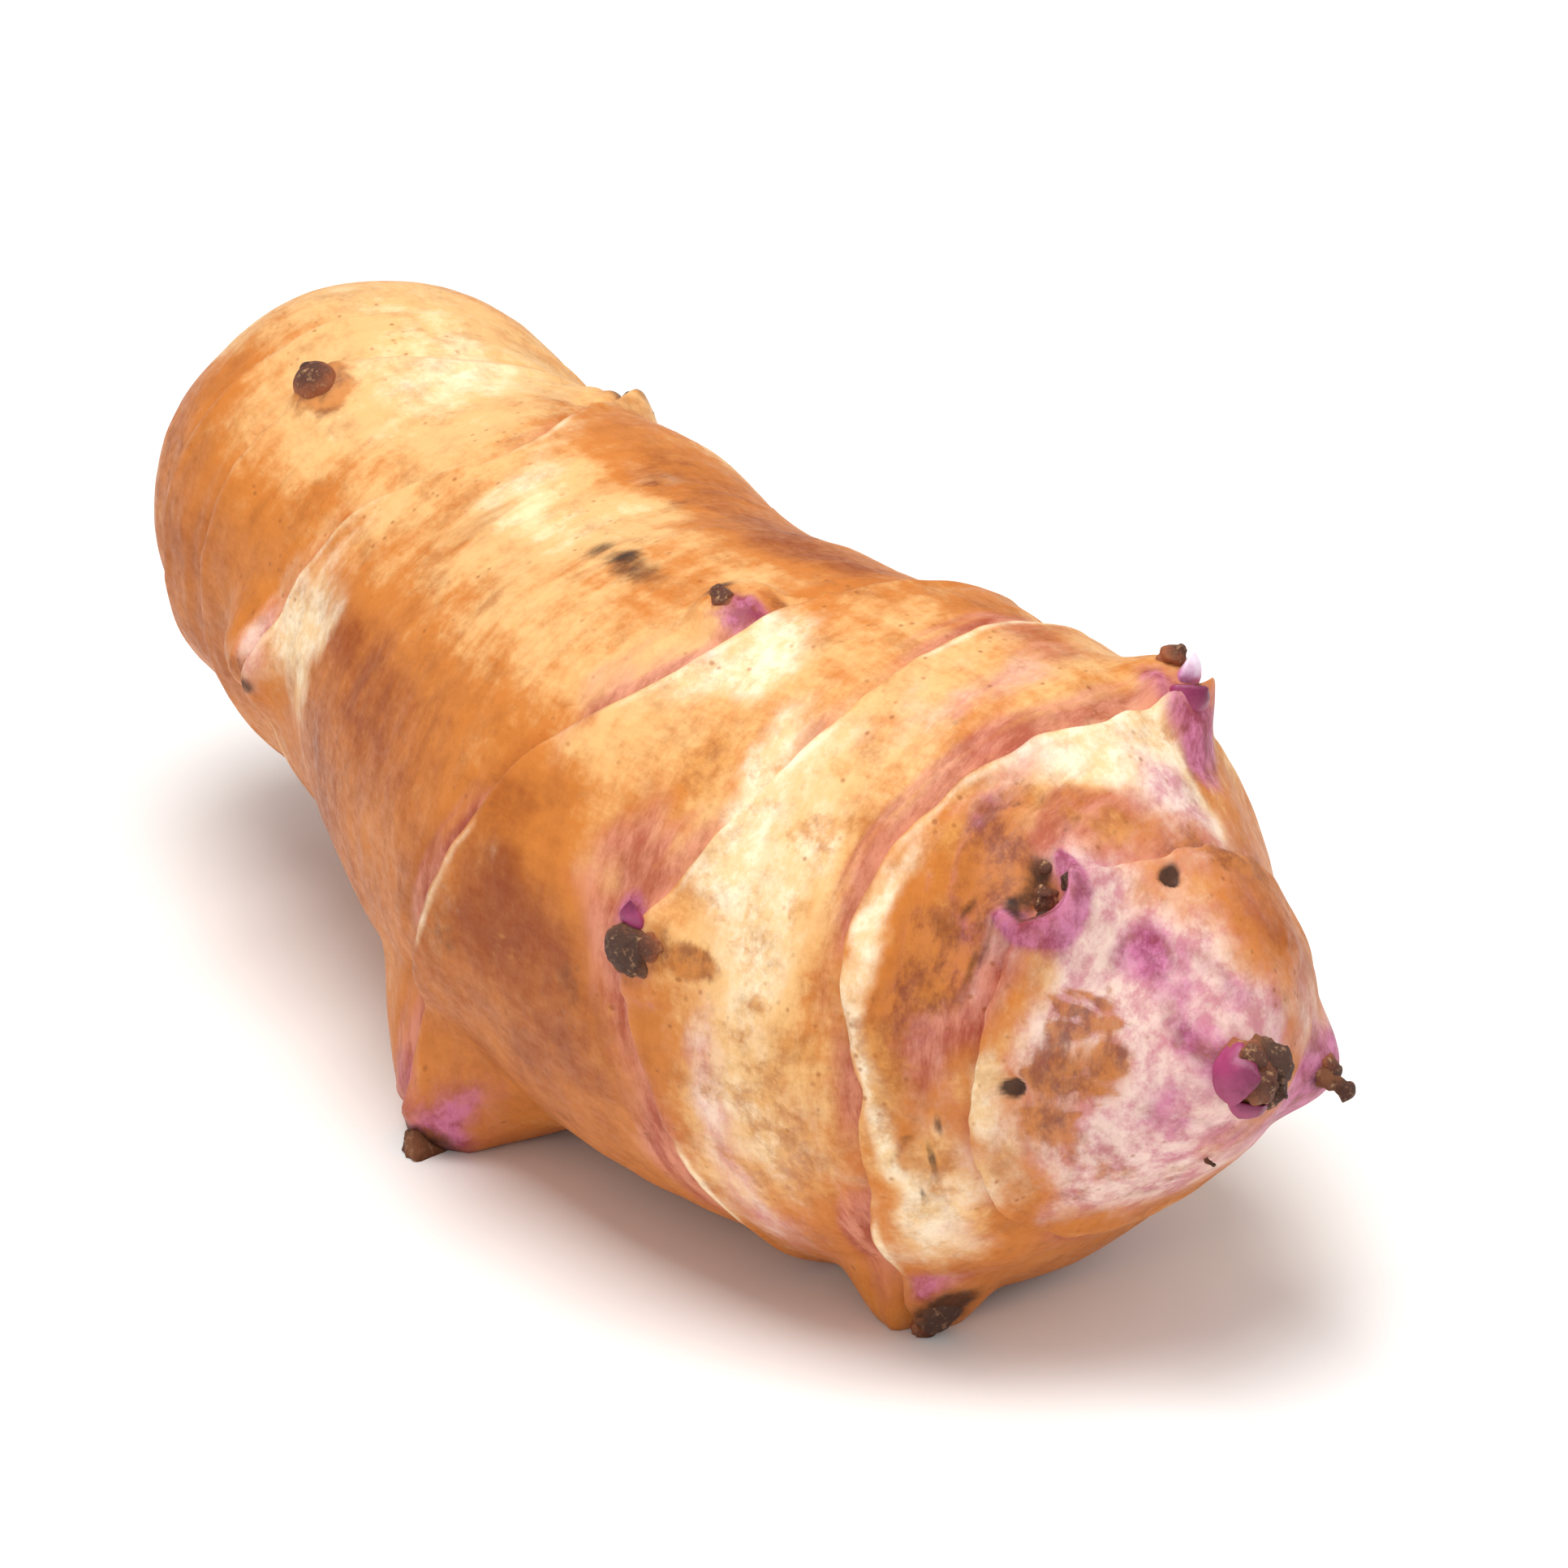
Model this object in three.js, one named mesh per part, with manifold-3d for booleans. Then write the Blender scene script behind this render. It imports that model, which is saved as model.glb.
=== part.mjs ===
// Jerusalem artichoke tuber, one grown piece, lying on its side.
// Millimetres, +Z up. +X runs from the stolon end to the growing tip. Z = 0 is the surface it rests on,
// and X = Y = 0 is the middle of its footprint.
import * as THREE from 'three';
import { mergeVertices } from 'three/addons/utils/BufferGeometryUtils.js';
import Module from 'manifold-3d';

// ---- driving dimensions ----

// Middle line of the tuber, stolon end first: it swings to -Y in the middle and the tail rides higher.
const middleLine = [
  [-56, 8, 22.9], [-46, 4, 24], [-33, 0, 23.6], [-16, -1.5, 22.2], [0.5, -2.6, 21.1],
  [19, -1.8, 21.1], [38, 3.5, 21.5], [49, 6.5, 22.1], [57, 8, 22.7],
];

// Radius of the flesh, as [distance along the middle line, radius].
const girth = [
  [0, 15], [8, 16], [16, 16.4], [26, 16.6], [36, 17], [50, 18.6], [62, 20.3],
  [76, 21.2], [90, 21], [98, 20], [104, 17.4], [110, 14.6], [118, 12],
];
const tailRounding = 14;
const tipRounding = 17;

// Leaf scars ring the tuber. Each path is [angle round the tuber in degrees, distance along it], where
// angle 0 faces +Y and 90 faces up. The groove is on the stolon side and the lip on the tip side.
const leafScars = [
  { groove: 0.2, lip: 0.15, path: [[0, 17], [68, 19], [112, 18.5], [200, 18], [280, 16]] },
  { groove: 0.25, lip: 0.2, path: [[0, 26], [76, 28], [106, 24.5], [125, 25], [200, 25], [280, 25]] },
  {
    groove: 0.6,
    lip: 0.35,
    path: [
      [0, 30], [48, 33], [72, 38.5], [100, 43.5], [125, 39], [150, 37], [180, 34.5], [240, 35], [305, 34],
    ],
  },
  {
    groove: 0.7,
    lip: 0.6,
    path: [
      [20, 80], [66, 82.5], [96, 80], [116, 78], [134, 75], [150, 71.6], [175, 68], [235, 60], [300, 70],
    ],
  },
  {
    groove: 0.4,
    lip: 0.35,
    path: [
      [0, 90], [60, 91], [106, 90], [130, 88], [150, 85], [168, 82.6], [200, 84], [250, 86], [300, 88],
    ],
  },
  {
    groove: 0.5,
    lip: 0.5,
    path: [[0, 101], [48, 101.2], [83, 102.6], [111, 100.8], [145, 98], [190, 99.6], [242, 96.5], [300, 100]],
  },
  {
    groove: 0.35,
    lip: 0.35,
    path: [[0, 109], [76, 110], [100, 109.3], [130, 107], [170, 106], [200, 105.4], [250, 106], [310, 108]],
  },
];
const grooveWidth = 1.6;
const lipWidth = 3.5;
const endFade = 6;

// Buds, knobs and broad swellings. Each is pushed out by high, within wide of its middle, and slid towards
// the tip by lean. A negative height is a hollow.
const knobs = [
  { name: 'stolon stub', along: 0, round: 90, high: 2.4, wide: 4.5, power: 2, lean: 0 },
  { name: 'tail eye', along: 24.8, round: 116, high: 0.8, wide: 3, power: 2, lean: 0 },
  { name: 'third ring bud', along: 33, round: 52, high: 1.8, wide: 4.5, power: 2, lean: 0 },
  { name: 'third ring knob', along: 33, round: 177, high: 3.2, wide: 6, power: 2.2, lean: 1.5 },
  { name: 'third ring foot', along: 36, round: 302, high: 9.4, wide: 12, power: 1.8, lean: 0 },
  { name: 'fourth ring bud', along: 76.5, round: 102, high: 1.4, wide: 4, power: 2, lean: -1 },
  { name: 'fourth ring foot', along: 59.5, round: 230, high: 6.8, wide: 10, power: 1.8, lean: 0 },
  { name: 'fourth ring far knob', along: 75, round: 340, high: 3, wide: 6.5, power: 2.2, lean: 1 },
  { name: 'fifth ring bud', along: 83, round: 166, high: 1.2, wide: 4.2, power: 2, lean: 0 },
  { name: 'fifth ring far bud', along: 90, round: 350, high: 2, wide: 5, power: 2, lean: 1 },
  { name: 'sixth ring bud', along: 100.5, round: 60, high: 2.6, wide: 5.5, power: 2, lean: 1 },
  { name: 'sixth ring foot', along: 94.5, round: 245, high: 3.8, wide: 6, power: 2, lean: 0 },
  { name: 'seventh ring bud', along: 107, round: 130, high: 1.8, wide: 5.5, power: 2, lean: 1 },
  { name: 'seventh ring hook', along: 111, round: 330, high: 1.6, wide: 5, power: 2, lean: 0.5 },
  { name: 'tip bud', along: 115.7, round: 195, high: 1.6, wide: 4.5, power: 2, lean: 0 },
  { name: 'tail hollow', along: 32, round: 208, high: -1.8, wide: 24, power: 2, lean: 0 },
  { name: 'full neck', along: 44, round: 60, high: 2, wide: 17, power: 2, lean: 0 },
  { name: 'hollow under the tip', along: 106, round: 262, high: -1, wide: 16, power: 2, lean: 0 },
  { name: 'hollow beside the tip', along: 106, round: 30, high: -1.4, wide: 15, power: 2, lean: 0 },
];

// ---- mesh density ----

const facetsRound = 40;
const rowsInLength = 7;
const rowsBeforeRing = [2.6, 1.1, 0.15];
const rowsAfterRing = [0.15, 1.3, 3];

// ---- curves ----

const spine = new THREE.CatmullRomCurve3(
  middleLine.map((point) => new THREE.Vector3(...point)), false, 'catmullrom', 0.5);
spine.arcLengthDivisions = 2000;
const length = spine.getLength();
const up = new THREE.Vector3(0, 0, 1);

// A smooth curve through [x, y] pairs: cubic pieces whose slope at each pair is that of its neighbours.
function smoothThrough(pairs, x) {
  const slope = (k) => {
    const a = pairs[Math.max(k - 1, 0)];
    const b = pairs[Math.min(k + 1, pairs.length - 1)];
    return (b[1] - a[1]) / (b[0] - a[0]);
  };
  let i = 0;
  while (i < pairs.length - 2 && pairs[i + 1][0] < x) i += 1;
  const step = pairs[i + 1][0] - pairs[i][0];
  const w = THREE.MathUtils.clamp((x - pairs[i][0]) / step, 0, 1);
  const ease = w * w * (3 - 2 * w);
  const level = pairs[i][1] * (1 - ease) + pairs[i + 1][1] * ease;
  return level + step * w * (1 - w) * (slope(i) * (1 - w) - slope(i + 1) * w);
}

// The same curve on an angle, joined to itself after a full turn.
function smoothRound(path, degrees) {
  const turned = (pair, by) => [pair[0] + by, pair[1]];
  const before = path.slice(-2).map((pair) => turned(pair, -360));
  const after = path.slice(0, 2).map((pair) => turned(pair, 360));
  return smoothThrough([...before, ...path, ...after], degrees);
}

// Unit vectors across the middle line: side points to +Y, and over points up.
function across(along) {
  const forward = spine.getTangentAt(along / length);
  const side = new THREE.Vector3().crossVectors(up, forward).normalize();
  const over = new THREE.Vector3().crossVectors(forward, side);
  return { forward, side, over };
}

// Radius of the flesh before rings and knobs, rounded to nothing at both ends as a quarter ellipse.
function fleshRadius(along) {
  const tail = THREE.MathUtils.clamp(1 - along / tailRounding, 0, 1);
  const tip = THREE.MathUtils.clamp(1 - (length - along) / tipRounding, 0, 1);
  return smoothThrough(girth, along) * Math.sqrt(1 - tail * tail) * Math.sqrt(1 - tip * tip);
}

function fleshPoint(along, degrees, extra = 0) {
  const { side, over } = across(along);
  const angle = THREE.MathUtils.degToRad(degrees);
  const radius = fleshRadius(along) + extra;
  return spine.getPointAt(along / length)
    .addScaledVector(side, radius * Math.cos(angle))
    .addScaledVector(over, radius * Math.sin(angle));
}

// Height of all the rings: a groove that deepens up to each scar, then a lip that fades after it.
function ringRelief(along, degrees) {
  let relief = 0;
  for (const { groove, lip, path } of leafScars) {
    const past = along - smoothRound(path, degrees);
    const before = -groove * Math.exp(-((past / grooveWidth) ** 2));
    const after = lip * Math.exp(-((past / lipWidth) ** 2));
    relief += past < 0 ? before : after;
  }
  const fromEnd = Math.min(along, length - along);
  return relief * THREE.MathUtils.clamp(fromEnd / endFade, 0, 1);
}

const placedKnobs = knobs.map((knob) => {
  const foot = fleshPoint(knob.along, knob.round);
  const inside = THREE.MathUtils.clamp(knob.along, tailRounding, length - tipRounding);
  const out = foot.clone().sub(spine.getPointAt(inside / length)).normalize();
  const push = out.multiplyScalar(knob.high).addScaledVector(across(knob.along).forward, knob.lean);
  return { ...knob, foot, push };
});

function skinPoint(along, degrees) {
  const flesh = fleshPoint(along, degrees);
  const point = fleshPoint(along, degrees, ringRelief(along, degrees));
  for (const { foot, push, wide, power } of placedKnobs) {
    const share = Math.min(flesh.distanceTo(foot) / wide, 1);
    point.addScaledVector(push, (1 - share * share) ** power);
  }
  return point;
}

// ---- rows of points from pole to pole, following the leaf scars ----

// Each row is a function that gives its distance along the tuber at an angle.
function skinRows() {
  const scarLines = leafScars.map(({ path }) => (degrees) => smoothRound(path, degrees));
  const lines = [() => 0, ...scarLines, () => length];
  const rows = [];
  for (let k = 0; k < lines.length - 1; k += 1) {
    const [start, end] = [lines[k], lines[k + 1]];
    const isTail = k === 0;
    const isTip = k === lines.length - 2;
    const near = isTail ? [] : rowsAfterRing;
    const far = isTip ? [] : rowsBeforeRing;
    const gapNear = isTail ? 0 : near[near.length - 1];
    const gapFar = isTip ? 0 : far[0];
    near.forEach((gap) => rows.push((degrees) => start(degrees) + gap));
    for (let i = 1; i < rowsInLength; i += 1) {
      const even = i / rowsInLength;
      let share = even;
      if (isTail) share = 1 - Math.cos(even * Math.PI / 2);
      if (isTip) share = Math.sin(even * Math.PI / 2);
      rows.push((degrees) => THREE.MathUtils.lerp(start(degrees) + gapNear, end(degrees) - gapFar, share));
    }
    far.forEach((gap) => rows.push((degrees) => end(degrees) - gap));
  }
  return rows;
}

function skinGeometry() {
  const rows = skinRows();
  const positions = [];
  const faces = [];
  for (const row of rows) {
    for (let j = 0; j < facetsRound; j += 1) {
      const degrees = 360 * j / facetsRound;
      positions.push(...skinPoint(row(degrees), degrees).toArray());
    }
  }
  const tailPole = rows.length * facetsRound;
  const tipPole = tailPole + 1;
  positions.push(...skinPoint(0, 0).toArray(), ...skinPoint(length, 0).toArray());
  for (let j = 0; j < facetsRound; j += 1) {
    const next = (j + 1) % facetsRound;
    const last = (rows.length - 1) * facetsRound;
    faces.push(tailPole, next, j);
    faces.push(tipPole, last + j, last + next);
    for (let i = 0; i < rows.length - 1; i += 1) {
      const [a, b] = [i * facetsRound + j, i * facetsRound + next];
      const [c, d] = [a + facetsRound, b + facetsRound];
      faces.push(a, b, d, a, d, c);
    }
  }
  const geometry = new THREE.BufferGeometry();
  geometry.setAttribute('position', new THREE.Float32BufferAttribute(positions, 3));
  geometry.setIndex(faces);
  return mergeVertices(geometry);
}

// ---- the tuber presses flat where it touches the surface it lies on ----

const wasm = await Module();
wasm.setup();

function flattenedUnderneath(geometry) {
  const solid = new wasm.Manifold(new wasm.Mesh({
    numProp: 3,
    vertProperties: new Float32Array(geometry.getAttribute('position').array),
    triVerts: new Uint32Array(geometry.getIndex().array),
  }));
  const mesh = solid.trimByPlane([0, 0, 1], 0).getMesh();
  const flattened = new THREE.BufferGeometry();
  flattened.setAttribute('position', new THREE.BufferAttribute(mesh.vertProperties, 3));
  flattened.setIndex(new THREE.BufferAttribute(mesh.triVerts, 1));
  flattened.computeVertexNormals();
  return flattened;
}

// Moves the finished solid so that the middle of its footprint is at X = Y = 0.
function centredOnFootprint(geometry) {
  geometry.computeBoundingBox();
  const middle = geometry.boundingBox.getCenter(new THREE.Vector3());
  return geometry.translate(-middle.x, -middle.y, 0);
}

const skin = new THREE.MeshStandardMaterial({ color: '#c98e58', roughness: 0.55, metalness: 0 });
const tuber = new THREE.Mesh(centredOnFootprint(flattenedUnderneath(skinGeometry())), skin);
tuber.name = 'tuber';

const artichoke = new THREE.Group();
artichoke.add(tuber);

export default artichoke;
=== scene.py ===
import itertools
import math
import bpy
import numpy as np
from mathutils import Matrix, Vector


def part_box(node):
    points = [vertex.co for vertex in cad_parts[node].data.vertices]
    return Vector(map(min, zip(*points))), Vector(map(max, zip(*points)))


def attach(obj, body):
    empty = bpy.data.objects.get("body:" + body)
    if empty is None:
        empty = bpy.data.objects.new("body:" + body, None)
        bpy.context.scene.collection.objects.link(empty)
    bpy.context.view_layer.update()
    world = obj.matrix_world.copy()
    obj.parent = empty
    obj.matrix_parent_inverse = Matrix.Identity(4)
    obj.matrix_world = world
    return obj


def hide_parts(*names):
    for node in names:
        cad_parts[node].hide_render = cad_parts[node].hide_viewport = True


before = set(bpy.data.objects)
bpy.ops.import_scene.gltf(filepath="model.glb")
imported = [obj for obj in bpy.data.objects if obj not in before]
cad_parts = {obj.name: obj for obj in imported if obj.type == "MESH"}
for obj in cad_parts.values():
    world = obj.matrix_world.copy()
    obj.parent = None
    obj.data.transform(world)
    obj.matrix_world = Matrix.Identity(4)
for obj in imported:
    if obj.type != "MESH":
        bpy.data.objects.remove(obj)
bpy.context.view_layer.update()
cadLow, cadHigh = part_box("tuber")
metre = 0.001   # shapes below are worked out in millimetres

# The tuber has the same shape as its solid, with finer relief.
# The middle line runs from the stolon end to the growing tip, and girth is [distance along it, radius].
tuber = {
    "middleLine": [(-56, 8, 22.9), (-46, 4, 24), (-33, 0, 23.6), (-16, -1.5, 22.2), (0.5, -2.6, 21.1),
                   (19, -1.8, 21.1), (38, 3.5, 21.5), (49, 6.5, 22.1), (57, 8, 22.7)],
    "girth": [(0, 15), (8, 16), (16, 16.4), (26, 16.6), (36, 17), (50, 18.6), (62, 20.3),
              (76, 21.2), (90, 21), (98, 20), (104, 17.4), (110, 14.6), (118, 12)],
    "tailRounding": 14,
    "tipRounding": 17,
    "columns": 300,
    "rowGap": 0.48,
    "nearRing": [0.03, 0.1, 0.2, 0.34, 0.52, 0.76, 1.06],   # rows crowd together this close to a leaf scar
    "lumps": [(0.34, 11, 21), (0.2, 5, 22), (0.07, 2, 23)],   # height, size and seed of its uneven growth
    "lipEdge": 0.14,   # mm that the sharp edge of a leaf scar stands above its lip
}

# Leaf scars: path is (angle round in degrees, distance along); 0 degrees faces +Y and 90 faces up.
# rose and cream are how strongly the skin is coloured before and after the scar: the rose is partly the
# skin's own pink and partly painted shade in the scar's groove and crease, and the cream includes a thin
# painted highlight along the lip.
leafScars = [
    {"groove": 0.5, "lip": 0.4, "rose": 0.35, "cream": 0.15,
     "path": [(0, 17), (68, 19), (112, 18.5), (200, 18), (280, 16)]},
    {"groove": 0.7, "lip": 0.55, "rose": 0.8, "cream": 0.3,
     "path": [(0, 26), (76, 28), (106, 24.5), (125, 25), (200, 25), (280, 25)]},
    {"groove": 0.8, "lip": 0.5, "rose": 0.5, "cream": 0.7,
     "path": [(0, 30), (48, 33), (72, 38.5), (100, 43.5), (125, 39), (150, 37), (180, 34.5), (240, 35),
              (305, 34)]},
    {"groove": 0.8, "lip": 0.7, "rose": 1.1, "cream": 0.6,
     "path": [(20, 80), (66, 82.5), (96, 80), (116, 78), (134, 75), (150, 71.6), (175, 68), (235, 60),
              (300, 70)]},
    {"groove": 0.4, "lip": 0.35, "rose": 0.7, "cream": 0.7,
     "path": [(0, 90), (60, 91), (106, 90), (130, 88), (150, 85), (168, 82.6), (200, 84), (250, 86),
              (300, 88)]},
    {"groove": 0.65, "lip": 0.6, "rose": 1.1, "cream": 0.7,
     "path": [(0, 101), (48, 101.2), (83, 102.6), (111, 100.8), (145, 98), (190, 99.6), (242, 96.5),
              (300, 100)]},
    {"groove": 0.4, "lip": 0.35, "rose": 0.7, "cream": 0.35,
     "path": [(0, 109), (76, 110), (100, 109.3), (130, 107), (170, 106), (200, 105.4), (250, 106),
              (310, 108)]},
]

# Parts of a leaf scar's relief and of its colour bands: (middle, half width), in mm past the scar; in the
# bands, crease is painted shade in the scar's crease and edge a painted highlight along its lip.
scarRelief = {"groove": (0, 1.6), "lip": (0, 3.5), "edge": (0.4, 0.5), "fainter": (-2.7, 0.5)}
scarBands = {"before": (-1.0, 1.1), "crease": (-0.25, 0.35), "fainter": (-2.7, 0.45), "edge": (0.35, 0.3),
             "after": (1.8, 2.0)}

# Knobs, buds and hollows: (distance along, angle round, height, half width, power, slide towards the tip).
knobs = [
    (0, 90, 2.4, 4.5, 2, 0), (24.8, 116, 0.8, 3, 2, 0), (33, 52, 1.8, 4.5, 2, 0),
    (33, 177, 3.2, 6, 2.2, 1.5), (36, 302, 9.4, 12, 1.8, 0), (76.5, 102, 1.4, 4, 2, -1),
    (59.5, 230, 6.8, 10, 1.8, 0), (75, 340, 3, 6.5, 2.2, 1), (83, 166, 1.2, 4.2, 2, 0),
    (90, 350, 2, 5, 2, 1), (100.5, 60, 2.6, 5.5, 2, 1), (94.5, 245, 3.8, 6, 2, 0),
    (107, 130, 1.6, 5.5, 2, 1), (111, 330, 1.6, 5, 2, 0.5), (115.7, 195, 1.6, 4.5, 2, 0),
    (32, 208, -1.8, 24, 2, 0), (44, 60, 2, 17, 2, 0), (106, 262, -1, 16, 2, 0),
    (106, 30, -1.4, 15, 2, 0),
]

# Small rims and pits: (distance along, angle round, radius, half thickness, height, arc start, arc end),
# where the arc is an angle in degrees from the direction of the tip towards greater angles round.
rims = [
    (83, 166, 2.8, 0.7, 0.35, -80, 130), (83, 166, 0, 2.0, -0.4, 0, 360),
    (105.9, 131, 2.6, 0.75, 1.15, -70, 125), (105.9, 131, 0, 1.7, -1.1, 0, 360),
    (105.9, 131, 4.7, 0.6, 0.4, 120, 260), (105.9, 131, 6.2, 0.5, 0.3, 130, 250),
    (105.9, 131, 4.2, 0.6, 0.5, -50, 90), (25, 116, 1.9, 0.5, 0.2, 0, 360),
    (107.5, 180, 0, 0.7, -0.9, 0, 360), (107.5, 180, 1.4, 0.45, 0.15, 0, 360),
    (110.4, 100, 0, 0.65, -0.7, 0, 360), (110, 168, 1.2, 0.4, 0.25, 0, 360),
    (110, 168, 2.4, 0.35, 0.25, -120, 150), (110, 168, 3.5, 0.35, 0.22, -150, 60),
    (113.2, 38, 0.9, 0.5, 0.35, 0, 360), (76.5, 102, 2.4, 0.6, 0.35, 60, 300),
    (79.4, 97, 2.0, 0.35, 0.4, 130, 300), (101.4, 62, 2.6, 0.8, 0.7, -120, 120),
    (97, 243, 2.8, 0.7, 0.4, 0, 360), (115.6, 180, 3.0, 0.8, 0.5, 90, 270),
    (60.5, 229, 3.2, 0.8, 0.4, 0, 360), (76, 340, 3.0, 0.8, 0.5, 0, 360),
    (90.8, 350, 2.6, 0.7, 0.4, 0, 360),
]
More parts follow.
